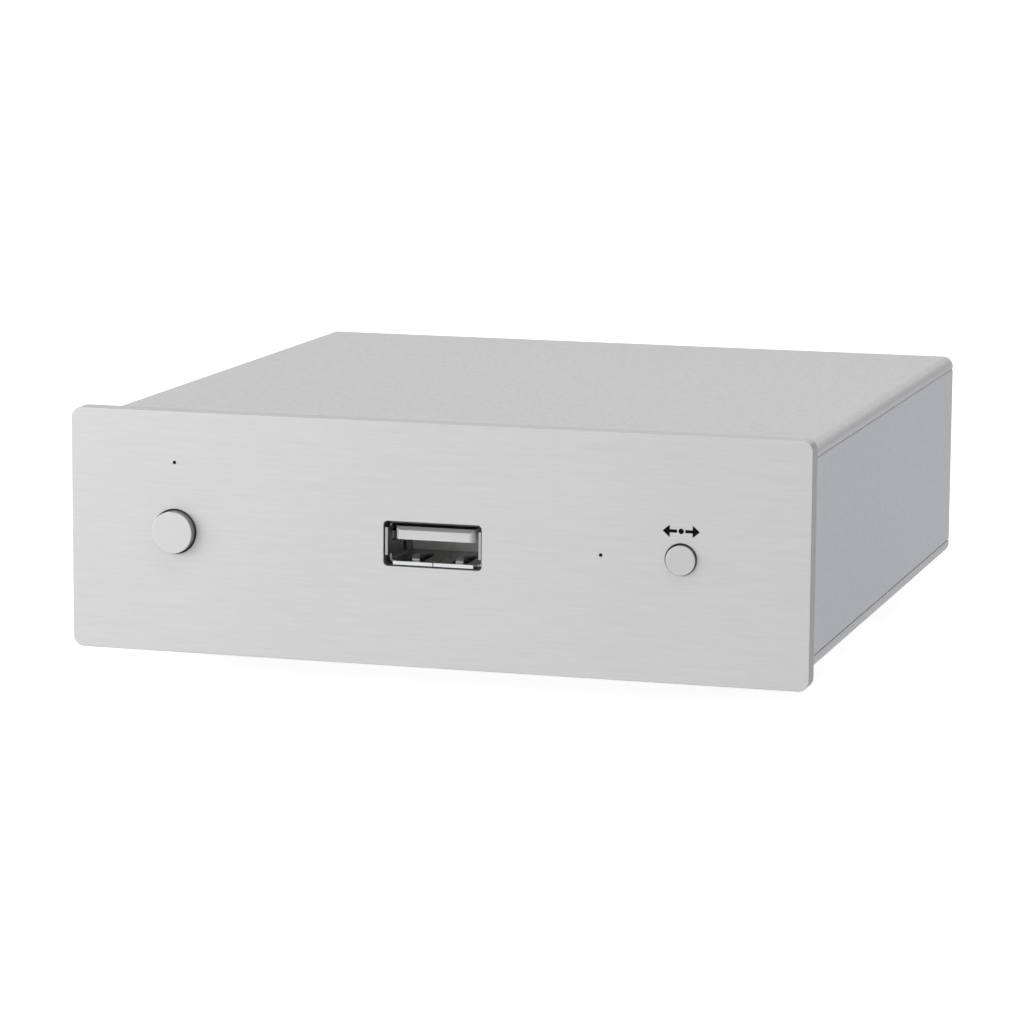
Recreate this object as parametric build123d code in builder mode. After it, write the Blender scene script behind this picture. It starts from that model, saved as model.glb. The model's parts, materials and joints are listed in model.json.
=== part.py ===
"""A compact network music streamer, in millimetres.

X runs to the right as seen from the front, Y to the back and Z up. The origin lies under the middle of the
whole object, on the surface that the feet stand on. A depth is measured backwards from the front panel's
front face, and a height above the main board from its top side.
"""

import os

from build123d import *

os.makedirs("parts", exist_ok=True)

# One overrun serves all cuts, so that none ends exactly on a face
overrun = 1.0

# Front panel: it stands out past the case on all four sides
panel_width = 103.0
panel_thickness = 2.7
panel_corner_radius = 1.5
panel_edge_radius = 0.12
panel_side_lip = 1.1
panel_top_lip = 1.45
panel_bottom_lip = 1.25
opening_break = 0.1

# Case: a tube of two side profiles and two plates, slid together
case_height = 30.4
case_depth = 102.8
wall_thickness = 2.2
top_thickness = 1.8
bottom_thickness = 2.0
long_edge_radius = 1.5
seam_radius = 0.35
plate_edge_radius = 0.15
lip_width = 2.0
lip_thickness = 1.0
hook_thickness = 0.9
hook_reach = 1.4
slide_gap = 0.15

# Screw channels, two along each side profile
channel_radius = 2.0
channel_reach = 2.8
channel_web = 2.0
thread_gap = 0.05

# Sheets in the two open ends of the case
film_thickness = 0.2
subpanel_thickness = 1.6
rear_thickness = 1.6
mouth_gap = 0.15
opening_relief = 0.3

# Screws: flat heads in the sub-panel, round heads in the rear panel
screw_radius = 1.25
screw_length = 8.0
screw_hole_gap = 0.15
flat_head_radius = 2.4
round_head_radius = 2.3
round_head_height = 1.5
head_edge_radius = 0.4
socket_radius = 0.85
socket_depth = 0.8

# Feet
foot_height = 5.15
foot_radius = 5.0
foot_taper = 0.4
foot_edge_radius = 0.6
foot_side_inset = 13.0
foot_end_inset = 22.5
foot_pocket_radius = 3.1
foot_pocket_depth = 2.4
foot_hole_gap = 0.2
foot_screw_radius = 1.5
foot_screw_head_radius = 2.7
foot_screw_head_height = 1.6
foot_screw_excess = 1.2

# Controls on the front, all on one line just above the panel's middle
control_rise = 0.1
power_inset = 14.92
source_inset = 17.42
source_shift = 0.05
source_sag = 0.07
status_spacing = 10.88
power_light_drop = 7.0
power_radius = 2.88
power_gap = 0.17
power_proud = 1.3
power_travel = 0.5
source_radius = 2.0
source_gap = 0.11
source_proud = 0.6
source_travel = 0.3
cap_edge_radius = 0.1
flange_rim = 1.1
flange_thickness = 0.8
flange_gap = 0.1
cap_wall = 1.7
plunger_share = 0.4
plunger_gap = 0.05
plunger_length = 5.6

# Push switches behind the caps
switch_width = 6.0
switch_depth = 3.6
switch_gap = 1.4
actuator_radius = 1.5
actuator_gap = 0.1
actuator_seat = 1.0
actuator_room = 0.3

# Lights behind the pinholes
pinhole_radius = 0.25
pinhole_wall = 0.8
pipe_radius = 1.0
pipe_gap = 0.1
pipe_collar_rim = 0.6
pipe_collar_thickness = 0.8
pipe_bend_radius = 3.0
pipe_back = 17.0
lamp_width = 3.2
lamp_depth = 2.0
lamp_height = 0.9
status_lamp_depth = 8.5

# Main board, held in slots of the side profiles
board_thickness = 1.6
board_front_gap = 0.3
board_rear_gap = 0.5
board_side_gap = 0.3
rail_width = 1.2
rail_thickness = 1.1
rail_gap = 0.2

# USB type A receptacle
usb_width = 13.1
usb_height = 5.72
usb_wall = 0.3
usb_length = 14.0
usb_corner_radius = 0.6
usb_recess = 0.25
usb_side_gap = 0.22
usb_edge_gap = 0.11
usb_opening_radius = 0.5
usb_notch_depth = 1.5
usb_lip_length = 0.8
usb_floor_lip_inset = 0.95
usb_floor_lip_thickness = 0.48
usb_side_lip_inset = 1.0
usb_side_lip_rise = 0.25
usb_side_lip_thickness = 0.35
usb_side_lip_flare = 0.14
usb_seam_width = 0.12
usb_cavity_depth = 10.6
usb_fit_gap = 0.05
usb_window_depth = 7.35
usb_window_length = 1.2
usb_window_height = 4.4

# Its spring fingers
finger_spacing = 6.1
finger_width = 1.05
finger_slot = 0.6
finger_end_gap = 0.2
finger_tip = 2.1
finger_bump = 2.6
finger_root = 8.7
floor_bump_height = 0.8
roof_bump_height = 0.25
finger_tip_share = 0.3
side_finger_rise = 0.8
side_finger_slot = 0.25
side_finger_root = 5.8
side_bump_height = 0.3

# Its tongue and contacts
tongue_side_gap = 0.75
tongue_roof_gap = 0.36
tongue_thickness = 1.71
tongue_setback = 0.75
tongue_chamfer = 0.46
tongue_end_radius = 0.75
contact_width = 1.0
contact_thickness = 0.2
contact_bow = 0.25
contact_setback = 1.4
contact_bow_length = 1.1
contact_inner_spacing = 2.0
contact_outer_spacing = 7.0

# Rear sockets, in one row from the antenna connector to the power inlet
rear_spacing = 1.4
rear_relief = 0.2

# Phono sockets
phono_pitch = 13.0
phono_radius = 4.15
phono_neck_radius = 3.9
phono_wall = 0.6
phono_reach = 9.0
phono_root = 4.0
phono_hole_radius = 1.7
phono_hole_depth = 8.0
phono_insert_setback = 0.6
phono_ring_radius = 5.2
phono_ring_proud = 1.4
phono_ring_gap = 0.05
phono_shoulder_gap = 0.1
phono_edge_radius = 0.25
phono_housing_margin = 5.2
phono_housing_depth = 11.0
phono_housing_top = 6.0

# Network socket
ethernet_width = 16.0
ethernet_height = 13.4
ethernet_length = 21.0
ethernet_proud = 0.6
ethernet_wall = 0.3
ethernet_port_width = 11.8
ethernet_port_height = 8.0
ethernet_port_depth = 13.0
ethernet_port_rise = 3.6
ethernet_key_width = 6.0
ethernet_key_height = 1.5
ethernet_latch_width = 3.3
ethernet_latch_height = 1.2
ethernet_pin_count = 8
ethernet_pin_pitch = 1.02
ethernet_pin_width = 0.46
ethernet_pin_thickness = 0.3
ethernet_pin_start = 2.0
ethernet_pin_end = 9.5
ethernet_pin_drop = 2.5

# Power inlet
inlet_width = 9.0
inlet_height = 9.5
inlet_length = 13.5
inlet_rise = 4.6
inlet_nose_radius = 4.0
inlet_nose_proud = 0.4
inlet_bore_radius = 2.85
inlet_bore_depth = 9.5
inlet_pin_radius = 1.05
inlet_pin_setback = 0.8

# Antenna connector
antenna_rise = 4.9
antenna_radius = 3.12
antenna_bore_radius = 2.3
antenna_bore_depth = 5.0
antenna_reach = 12.8
antenna_hole_gap = 0.1
antenna_flats = 8.0
antenna_flange_thickness = 2.0
antenna_nut_thickness = 2.2
antenna_nut_gap = 0.04
antenna_washer_radius = 4.65
antenna_washer_thickness = 0.5
antenna_tail_radius = 1.5
antenna_tail_length = 6.0
antenna_pin_radius = 0.45
antenna_pin_length = 3.5
antenna_edge_chamfer = 0.3
antenna_groove_width = 0.5
antenna_groove_depth = 0.3

# Its coaxial lead, down to the wireless module
lead_radius = 0.57
lead_bend_radius = 5.0
lead_straight = 3.4
plug_radius = 1.3
plug_height = 1.2

# Wireless module
radio_width = 12.0
radio_length = 16.0
radio_height = 2.2
radio_gap = 2.0

# Compute module on two board connectors
module_width = 55.0
module_length = 40.0
module_thickness = 1.2
module_connector_length = 22.0
module_connector_width = 3.0
module_connector_height = 3.0
module_connector_inset = 1.5
processor_size = 15.0
processor_height = 1.6
pad_thickness = 0.8
sink_width = 40.0
sink_length = 30.0
sink_base = 2.0
sink_fin = 1.0
sink_fin_count = 9
sink_head_gap = 1.2

# Parts on the main board beside it
converter_size = 7.0
converter_height = 1.2
inductor_size = 12.0
inductor_height = 6.0
inductor_edge_radius = 1.5
small_capacitor_radius = 3.15
small_capacitor_height = 7.7
large_capacitor_radius = 4.0
large_capacitor_height = 11.5
capacitor_crimp = 0.35
capacitor_crimp_rise = 1.6
capacitor_crimp_width = 0.8

# Places on the main board as shares of its half width, from the middle, and of its length, from the front
module_place_shares = (-0.25, 0.4)
radio_across_share = -0.72
converter_place_shares = (-0.29, 0.69)
inductor_place_shares = (0.76, 0.73)
small_capacitor_place_shares = ((-0.48, 0.79), (-0.29, 0.79), (-0.1, 0.79), (0.1, 0.73))
large_capacitor_place_shares = ((0.57, 0.5), (0.78, 0.5), (0.57, 0.35), (0.78, 0.35))

# Heights of the case, from the surface that the feet stand on
case_bottom = foot_height
case_top = case_bottom + case_height
floor = case_bottom + bottom_thickness
ceiling = case_top - top_thickness
panel_bottom = case_bottom - panel_bottom_lip
panel_top = case_top + panel_top_lip
panel_height = panel_top - panel_bottom
panel_middle = (panel_top + panel_bottom) / 2
control_z = panel_middle + control_rise
power_light_z = panel_top - power_light_drop

# Half widths
panel_half = panel_width / 2
case_half = panel_half - panel_side_lip
wall_inner = case_half - wall_thickness
channel_x = wall_inner - channel_reach
channel_stack = lip_thickness + slide_gap + hook_thickness + slide_gap + channel_radius
channel_heights = (floor + channel_stack, ceiling - channel_stack)

# Places along the depth: the whole object is centred on the origin
overall_depth = power_proud + panel_thickness + case_depth + antenna_reach
front_face = power_proud - overall_depth / 2
rear_depth = panel_thickness + case_depth
rear_face = front_face + rear_depth
film_depth = panel_thickness
subpanel_depth = film_depth + film_thickness
inner_front = subpanel_depth + subpanel_thickness
inner_rear = rear_depth - rear_thickness

# Controls
power_x = power_inset - panel_half
source_x = panel_half - source_inset
status_x = source_x - status_spacing
flange_depth = inner_front + flange_gap
switch_front = flange_depth + flange_thickness + plunger_length - cap_wall + switch_gap

# Main board
board_top = control_z - usb_height / 2
board_bottom = board_top - board_thickness
board_half = wall_inner - board_side_gap
board_front = flange_depth + flange_thickness + power_travel + board_front_gap
board_rear = inner_rear - board_rear_gap
board_length = board_rear - board_front

# Row of rear sockets, seen from the front: antenna, phono pair, USB, network, power
antenna_width = 2 * antenna_washer_radius
phono_housing_width = phono_pitch + 2 * phono_housing_margin
rear_widths = (antenna_width, phono_housing_width, usb_width, ethernet_width, inlet_width)
rear_row_width = sum(rear_widths) + rear_spacing * (len(rear_widths) - 1)
antenna_x = antenna_width / 2 - rear_row_width / 2
phono_x = antenna_x + antenna_width / 2 + rear_spacing + phono_housing_width / 2
rear_usb_x = phono_x + phono_housing_width / 2 + rear_spacing + usb_width / 2
ethernet_x = rear_usb_x + usb_width / 2 + rear_spacing + ethernet_width / 2
inlet_x = ethernet_x + ethernet_width / 2 + rear_spacing + inlet_width / 2
antenna_z = board_top + antenna_rise
phono_z = (board_top + ceiling) / 2
ethernet_z = board_top + ethernet_height / 2
inlet_z = board_top + inlet_rise


def front_plane(depth):
    """A plane that faces the viewer at this depth. Its own x and y are the object's X and Z."""
    return Plane.XZ.offset(-(front_face + depth))


def facing_front(x, z, depth):
    """A plane that faces the viewer, centred on this place."""
    return Plane(origin=(x, front_face + depth, z), x_dir=(1, 0, 0), z_dir=(0, -1, 0))


def facing_rear(x, z, proud=0):
    """A plane that faces backwards, centred on this place, this far behind the rear panel's outer face."""
    return Plane(origin=(x, rear_face + proud, z), x_dir=(-1, 0, 0), z_dir=(0, 1, 0))


def block(x_low, x_high, y_low, y_high):
    """A rectangle in the open sketch, between two places along each of its axes."""
    with Locations(((x_low + x_high) / 2, (y_low + y_high) / 2)):
        Rectangle(x_high - x_low, y_high - y_low)


def board_place(shares):
    """The place on the main board that a pair of shares means."""
    across, along = shares
    return across * board_half, front_face + board_front + along * board_length


def channel_planes(plane_at):
    """The four screw channels' ends, as planes made by plane_at from x and z."""
    return [
        plane_at(x, z)
        for x in (-channel_x, channel_x)
        for z in channel_heights
    ]


# Front panel


with BuildPart() as front_panel:
    with BuildSketch(front_plane(panel_thickness)):
        with Locations((0, panel_middle)):
            RectangleRounded(panel_width, panel_height, panel_corner_radius)
    extrude(amount=panel_thickness)
    fillet(front_panel.faces().sort_by(Axis.Y)[0].edges(), panel_edge_radius)
    with BuildSketch(front_plane(-overrun)):
        with Locations((power_x, control_z)):
            Circle(power_radius + power_gap)
        with Locations((source_x, control_z)):
            Circle(source_radius + source_gap)
        with Locations((0, control_z)):
            RectangleRounded(
                usb_width + 2 * usb_side_gap, usb_height + 2 * usb_edge_gap, usb_opening_radius
            )
    extrude(amount=-(panel_thickness + 2 * overrun), mode=Mode.SUBTRACT)
    chamfer(front_panel.faces().sort_by(Axis.Y)[0].inner_wires().edges(), opening_break)
    with BuildSketch(front_plane(-overrun)):
        with Locations((power_x, power_light_z), (status_x, control_z)):
            Circle(pinhole_radius)
    extrude(amount=-(panel_thickness + overrun), mode=Mode.SUBTRACT)
    with BuildSketch(front_plane(pinhole_wall)):
        with Locations((power_x, power_light_z), (status_x, control_z)):
            Circle(pipe_radius + pipe_gap)
    extrude(amount=-panel_thickness, mode=Mode.SUBTRACT)


# Sheets in the case's open ends


def mouth_outline():
    """The case's open end, less the fitting gap all round, in the open sketch."""
    block(
        mouth_gap - wall_inner, wall_inner - mouth_gap, floor + mouth_gap, ceiling - mouth_gap
    )


def control_openings():
    """The control openings of the sheets behind the front panel, cut from the open sketch."""
    with Locations((power_x, control_z)):
        Circle(power_radius + power_gap + opening_relief, mode=Mode.SUBTRACT)
    with Locations((source_x, control_z)):
        Circle(source_radius + source_gap + opening_relief, mode=Mode.SUBTRACT)
    with Locations((0, control_z)):
        Rectangle(
            usb_width + 2 * (usb_side_gap + opening_relief),
            usb_height + 2 * (usb_edge_gap + opening_relief),
            mode=Mode.SUBTRACT,
        )
    with Locations((power_x, power_light_z), (status_x, control_z)):
        Circle(pipe_radius + pipe_gap, mode=Mode.SUBTRACT)


with BuildPart() as front_adhesive:
    with BuildSketch(front_plane(film_depth)):
        mouth_outline()
        control_openings()
    extrude(amount=-film_thickness)

with BuildPart() as front_subpanel:
    with BuildSketch(front_plane(subpanel_depth)):
        mouth_outline()
        control_openings()
    extrude(amount=-subpanel_thickness)
    with Locations(*channel_planes(lambda x, z: facing_front(x, z, subpanel_depth))):
        CounterSinkHole(
            radius=screw_radius + screw_hole_gap,
            counter_sink_radius=flat_head_radius + screw_hole_gap,
            depth=subpanel_thickness + overrun,
            counter_sink_angle=90,
        )

with BuildPart() as rear_panel:
    with BuildSketch(front_plane(inner_rear)):
        mouth_outline()
        with Locations((antenna_x, antenna_z)):
            Circle(antenna_radius + antenna_hole_gap, mode=Mode.SUBTRACT)
        with Locations((phono_x - phono_pitch / 2, phono_z), (phono_x + phono_pitch / 2, phono_z)):
            Circle(phono_ring_radius + rear_relief, mode=Mode.SUBTRACT)
        with Locations((rear_usb_x, control_z)):
            Rectangle(
                usb_width + 2 * rear_relief, usb_height + 2 * rear_relief, mode=Mode.SUBTRACT
            )
        with Locations((ethernet_x, ethernet_z)):
            Rectangle(
                ethernet_width + 2 * rear_relief,
                ethernet_height + 2 * rear_relief,
                mode=Mode.SUBTRACT,
            )
        with Locations((inlet_x, inlet_z)):
            Circle(inlet_nose_radius + rear_relief, mode=Mode.SUBTRACT)
    extrude(amount=-rear_thickness)
    with Locations(*channel_planes(facing_rear)):
        Hole(screw_radius + screw_hole_gap, depth=rear_thickness + overrun)


# Screws that hold the two sheets to the side profiles


with BuildPart() as subpanel_screws:
    seats = channel_planes(lambda x, z: facing_front(x, z, subpanel_depth))
    with Locations(*seats):
        Cylinder(screw_radius, screw_length, align=(Align.CENTER, Align.CENTER, Align.MAX))
        Cone(
            screw_radius,
            flat_head_radius,
            flat_head_radius - screw_radius,
            align=(Align.CENTER, Align.CENTER, Align.MAX),
        )
    with BuildSketch(*seats):
        RegularPolygon(socket_radius, 6)
    extrude(amount=-socket_depth, mode=Mode.SUBTRACT)

with BuildPart() as rear_panel_screws:
    seats = channel_planes(facing_rear)
    with Locations(*seats):
        Cylinder(
            round_head_radius, round_head_height, align=(Align.CENTER, Align.CENTER, Align.MIN)
        )
    fillet(rear_panel_screws.faces().group_by(Axis.Y)[-1].edges(), head_edge_radius)
    with Locations(*seats):
        Cylinder(screw_radius, screw_length, align=(Align.CENTER, Align.CENTER, Align.MAX))
    with BuildSketch(*channel_planes(lambda x, z: facing_rear(x, z, round_head_height))):
        RegularPolygon(socket_radius, 6)
    extrude(amount=-socket_depth, mode=Mode.SUBTRACT)


# Case plates and side profiles


def cover_plate(inner, outer):
    """A plate between these two heights, with a hooked rib along each side that slides under a lip."""
    inward = 1 if inner > outer else -1
    rib_end = inner + inward * (lip_thickness + slide_gap + hook_thickness)
    hook_start = rib_end - inward * hook_thickness
    rib_outer = wall_inner - lip_width - slide_gap
    with BuildPart() as plate:
        with BuildSketch(front_plane(panel_thickness)) as skin:
            block(-case_half, case_half, min(inner, outer), max(inner, outer))
            rows = skin.vertices().group_by(Axis.Y)
            fillet(rows[0] if inward > 0 else rows[-1], long_edge_radius)
            rows = skin.vertices().group_by(Axis.Y)
            fillet(rows[-1] if inward > 0 else rows[0], plate_edge_radius)
        extrude(amount=-case_depth)
        with BuildSketch(front_plane(inner_front)):
            block(rib_outer - hook_thickness, rib_outer, min(inner, rib_end), max(inner, rib_end))
            block(
                rib_outer - hook_thickness,
                rib_outer + hook_reach,
                min(hook_start, rib_end),
                max(hook_start, rib_end),
            )
            mirror(about=Plane.YZ)
        extrude(amount=-(inner_rear - inner_front))
    return plate


top_plate = cover_plate(ceiling, case_top)

foot_places = {
    "front_left": (foot_side_inset - case_half, panel_thickness + foot_end_inset),
    "front_right": (case_half - foot_side_inset, panel_thickness + foot_end_inset),
    "rear_left": (foot_side_inset - case_half, rear_depth - foot_end_inset),
    "rear_right": (case_half - foot_side_inset, rear_depth - foot_end_inset),
}
foot_points = [(x, front_face + depth) for x, depth in foot_places.values()]

with BuildPart() as bottom_plate:
    add(cover_plate(floor, case_bottom).part)
    with BuildSketch(Plane.XY.offset(case_bottom - overrun)):
        with Locations(*foot_points):
            Circle(foot_screw_radius + thread_gap)
    extrude(amount=bottom_thickness + 2 * overrun, mode=Mode.SUBTRACT)

with BuildPart() as side_profile_right:
    with BuildSketch(front_plane(panel_thickness)) as wall:
        block(wall_inner, case_half, floor, ceiling)
        fillet(wall.vertices().group_by(Axis.X)[-1], seam_radius)
    extrude(amount=-case_depth)
    with BuildSketch(front_plane(inner_front)):
        block(wall_inner - lip_width, wall_inner, ceiling - lip_thickness, ceiling)
        block(wall_inner - lip_width, wall_inner, floor, floor + lip_thickness)
        block(wall_inner - rail_width, wall_inner, board_bottom - rail_thickness, board_bottom)
        block(
            wall_inner - rail_width,
            wall_inner,
            board_top + rail_gap,
            board_top + rail_gap + rail_thickness,
        )
        for z in channel_heights:
            block(channel_x, wall_inner, z - channel_web / 2, z + channel_web / 2)
            with Locations((channel_x, z)):
                Circle(channel_radius)
                Circle(screw_radius + thread_gap, mode=Mode.SUBTRACT)
    extrude(amount=-(inner_rear - inner_front))

with BuildPart() as side_profile_left:
    mirror(side_profile_right.part, about=Plane.YZ)


# Feet


def rubber_foot(x, y):
    """One foot, with the pocket for its screw's head open below."""
    with BuildPart() as foot:
        with Locations((x, y, 0)):
            Cone(
                foot_radius - foot_taper,
                foot_radius,
                foot_height,
                align=(Align.CENTER, Align.CENTER, Align.MIN),
            )
        fillet(foot.faces().sort_by(Axis.Z)[0].edges(), foot_edge_radius)
        with Locations((x, y, 0)):
            Cylinder(
                foot_pocket_radius,
                foot_pocket_depth,
                align=(Align.CENTER, Align.CENTER, Align.MIN),
                mode=Mode.SUBTRACT,
            )
            Cylinder(
                foot_screw_radius + foot_hole_gap,
                foot_height,
                align=(Align.CENTER, Align.CENTER, Align.MIN),
                mode=Mode.SUBTRACT,
            )
    return foot


feet = {
    "foot_" + place: rubber_foot(x, front_face + depth)
    for place, (x, depth) in foot_places.items()
}

with BuildPart() as foot_screws:
    with BuildSketch(Plane.XY.offset(foot_pocket_depth)):
        with Locations(*foot_points):
            Circle(foot_screw_head_radius)
    extrude(amount=-foot_screw_head_height)
    fillet(foot_screws.faces().group_by(Axis.Z)[0].edges(), head_edge_radius)
    with BuildSketch(Plane.XY.offset(foot_pocket_depth)):
        with Locations(*foot_points):
            Circle(foot_screw_radius)
    extrude(amount=floor + foot_screw_excess - foot_pocket_depth)
    with BuildSketch(Plane.XY.offset(foot_pocket_depth - foot_screw_head_height)):
        with Locations(*foot_points):
            RegularPolygon(socket_radius, 6)
    extrude(amount=socket_depth, mode=Mode.SUBTRACT)


# Buttons and their switches


def push_button(x, z, radius, proud):
    """A metal cap with a flange that the sub-panel holds back, and a bore for its plunger."""
    length = proud + flange_depth
    with BuildPart() as cap:
        with BuildSketch(front_plane(-proud)):
            with Locations((x, z)):
                Circle(radius)
        extrude(amount=-length)
        fillet(cap.faces().sort_by(Axis.Y)[0].edges(), cap_edge_radius)
        with BuildSketch(front_plane(flange_depth)):
            with Locations((x, z)):
                Circle(radius + flange_rim)
        extrude(amount=-flange_thickness)
        with BuildSketch(front_plane(flange_depth + flange_thickness)):
            with Locations((x, z)):
                Circle(radius * plunger_share + plunger_gap)
        extrude(amount=length + flange_thickness - cap_wall - proud, mode=Mode.SUBTRACT)
    return cap


def plunger(x, z, radius):
    """A plastic rod from the bottom of the cap's bore to the switch."""
    with BuildPart() as rod:
        with BuildSketch(front_plane(cap_wall)):
            with Locations((x, z)):
                Circle(radius * plunger_share)
        extrude(amount=-(switch_front - switch_gap - cap_wall))
    return rod


def switch_actuator(x):
    """The switch's moving stem, from the plunger to inside the switch."""
    with BuildPart() as stem:
        with BuildSketch(front_plane(switch_front - switch_gap)):
            with Locations((x, control_z)):
                Circle(actuator_radius)
        extrude(amount=-(switch_gap + actuator_seat))
    return stem


def switch_body(x, travel):
    """The switch's housing on the board, with the well that the stem runs in."""
    with BuildPart() as body:
        with BuildSketch(front_plane(switch_front)):
            block(x - switch_width / 2, x + switch_width / 2, board_top, 2 * control_z - board_top)
            with Locations((x, control_z)):
                Circle(actuator_radius + actuator_gap, mode=Mode.SUBTRACT)
        well_depth = actuator_seat + travel + actuator_room
        extrude(amount=-well_depth)
        with BuildSketch(front_plane(switch_front + well_depth)):
            block(x - switch_width / 2, x + switch_width / 2, board_top, 2 * control_z - board_top)
        extrude(amount=-(switch_depth - well_depth))
    return body


power_button = push_button(power_x, control_z, power_radius, power_proud)
power_plunger = plunger(power_x, control_z, power_radius)
power_switch_actuator = switch_actuator(power_x)
power_switch_body = switch_body(power_x, power_travel)

# The small cap hangs a little low and to one side in its hole, within its gap
source_cap_place = (source_x + source_shift, control_z - source_sag)
source_button = push_button(*source_cap_place, source_radius, source_proud)
source_plunger = plunger(*source_cap_place, source_radius)
source_switch_actuator = switch_actuator(source_x)
source_switch_body = switch_body(source_x, source_travel)


# Lights


with BuildPart() as power_lamp:
    with BuildSketch(Plane.XY.offset(board_top)):
        with Locations((power_x, front_face + pipe_back)):
            Rectangle(lamp_width, lamp_depth)
    extrude(amount=lamp_height)

with BuildPart() as power_light_pipe:
    pipe_y = front_face + pipe_back
    pipe_tip = front_face + pinhole_wall + pipe_gap
    with BuildLine():
        FilletPolyline(
            (power_x, pipe_tip, power_light_z),
            (power_x, pipe_y, power_light_z),
            (power_x, pipe_y, board_top + lamp_height),
            radius=pipe_bend_radius,
        )
    with BuildSketch(facing_front(power_x, power_light_z, pinhole_wall + pipe_gap)):
        Circle(pipe_radius)
    sweep()
    with BuildSketch(front_plane(inner_front)):
        with Locations((power_x, power_light_z)):
            Circle(pipe_radius + pipe_collar_rim)
    extrude(amount=-pipe_collar_thickness)

with BuildPart() as status_lamp:
    with BuildSketch(Plane.XY.offset(board_top)):
        with Locations((status_x, front_face + status_lamp_depth + lamp_depth / 2)):
            Rectangle(lamp_width, lamp_depth)
    extrude(amount=control_z - board_top + pipe_radius)

with BuildPart() as status_light_pipe:
    with BuildSketch(front_plane(pinhole_wall + pipe_gap)):
        with Locations((status_x, control_z)):
            Circle(pipe_radius)
    extrude(amount=-(status_lamp_depth - pinhole_wall - pipe_gap))
    with BuildSketch(front_plane(inner_front)):
        with Locations((status_x, control_z)):
            Circle(pipe_radius + pipe_collar_rim)
    extrude(amount=-pipe_collar_thickness)


# USB receptacles


def side_plane(mouth):
    """The upright plane through a mouth's middle: its x points out of the mouth and its y points up."""
    return Plane(origin=mouth.origin, x_dir=mouth.z_dir, z_dir=-mouth.x_dir)


def plan_plane(mouth):
    """The level plane through a mouth's middle: its x is the mouth's, and its y points into the mouth."""
    return Plane(origin=mouth.origin, x_dir=mouth.x_dir, z_dir=(0, 0, 1))


def spring_finger(wall, bump, root):
    """A bent finger's side view in a wall this far from the middle: its points as depth and height."""
    inner = wall - usb_wall
    tip_bump = bump * finger_tip_share
    return [
        (root, wall),
        (finger_bump, wall - bump),
        (finger_tip, wall - tip_bump),
        (finger_tip, inner - tip_bump),
        (finger_bump, inner - bump),
        (root, inner),
    ]


def mouth_lip(wall, thickness, flare):
    """A lip's side view, from the tube's edge to the mouth: its points as depth and height."""
    inner = wall - usb_wall
    return [
        (usb_notch_depth, inner),
        (usb_notch_depth, wall),
        (usb_lip_length, wall),
        (0, wall + flare),
        (0, wall + flare - thickness),
        (usb_lip_length, inner),
    ]


def usb_shell(mouth):
    """The folded metal shell, with lips at its mouth and spring fingers in all four of its walls."""
    side = side_plane(mouth)
    plan = plan_plane(mouth)
    half_width = usb_width / 2
    half_height = usb_height / 2
    finger_places = (-finger_spacing / 2, finger_spacing / 2)
    with BuildPart() as shell:
        with BuildSketch(mouth.offset(-usb_notch_depth)):
            RectangleRounded(usb_width, usb_height, usb_corner_radius)
            RectangleRounded(
                usb_width - 2 * usb_wall,
                usb_height - 2 * usb_wall,
                usb_corner_radius - usb_wall,
                mode=Mode.SUBTRACT,
            )
        extrude(amount=usb_notch_depth - usb_length)

        # Lips on the floor and on the sides
        with BuildSketch(side):
            lip = mouth_lip(half_height, usb_floor_lip_thickness, flare=0)
            with BuildLine():
                Polyline([(-depth, -height) for depth, height in lip], close=True)
            make_face()
        extrude(amount=half_width - usb_floor_lip_inset, both=True)
        for across in (1, -1):
            with BuildSketch(plan.offset(usb_side_lip_rise)):
                lip = mouth_lip(half_width, usb_side_lip_thickness, usb_side_lip_flare)
                with BuildLine():
                    Polyline([(across * width, depth) for depth, width in lip], close=True)
                make_face()
            extrude(amount=half_height - usb_side_lip_inset, both=True)

        # Slots round the fingers, the floor's seam and the side windows
        with BuildSketch(plan.offset(-half_height - overrun)):
            for x in finger_places:
                cut_half = finger_width / 2 + finger_slot
                block(x - cut_half, x + cut_half, finger_tip - finger_end_gap, finger_root)
        extrude(amount=usb_height + 2 * overrun, mode=Mode.SUBTRACT)
        with BuildSketch(plan.offset(-half_height - overrun)):
            block(-usb_seam_width / 2, usb_seam_width / 2, -overrun, usb_length + overrun)
        extrude(amount=usb_floor_lip_thickness + overrun, mode=Mode.SUBTRACT)
        with BuildSketch(side.offset(-half_width - overrun)):
            cut_half = finger_width / 2 + side_finger_slot
            block(
                -side_finger_root,
                finger_end_gap - finger_tip,
                side_finger_rise - cut_half,
                side_finger_rise + cut_half,
            )
            block(
                -usb_window_depth - usb_window_length / 2,
                usb_window_length / 2 - usb_window_depth,
                -usb_window_height / 2,
                usb_window_height / 2,
            )
        extrude(amount=usb_width + 2 * overrun, mode=Mode.SUBTRACT)

        # Fingers in the floor, the roof and the sides
        for up, bump in ((-1, floor_bump_height), (1, roof_bump_height)):
            finger = spring_finger(half_height, bump, finger_root)
            for x in finger_places:
                with BuildSketch(side.offset(x)):
                    with BuildLine():
                        Polyline([(-depth, up * height) for depth, height in finger], close=True)
                    make_face()
                extrude(amount=finger_width / 2, both=True)
        finger = spring_finger(half_width, side_bump_height, side_finger_root)
        for across in (1, -1):
            with BuildSketch(plan.offset(side_finger_rise)):
                with BuildLine():
                    Polyline([(across * width, depth) for depth, width in finger], close=True)
                make_face()
            extrude(amount=finger_width / 2, both=True)
    return shell


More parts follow.
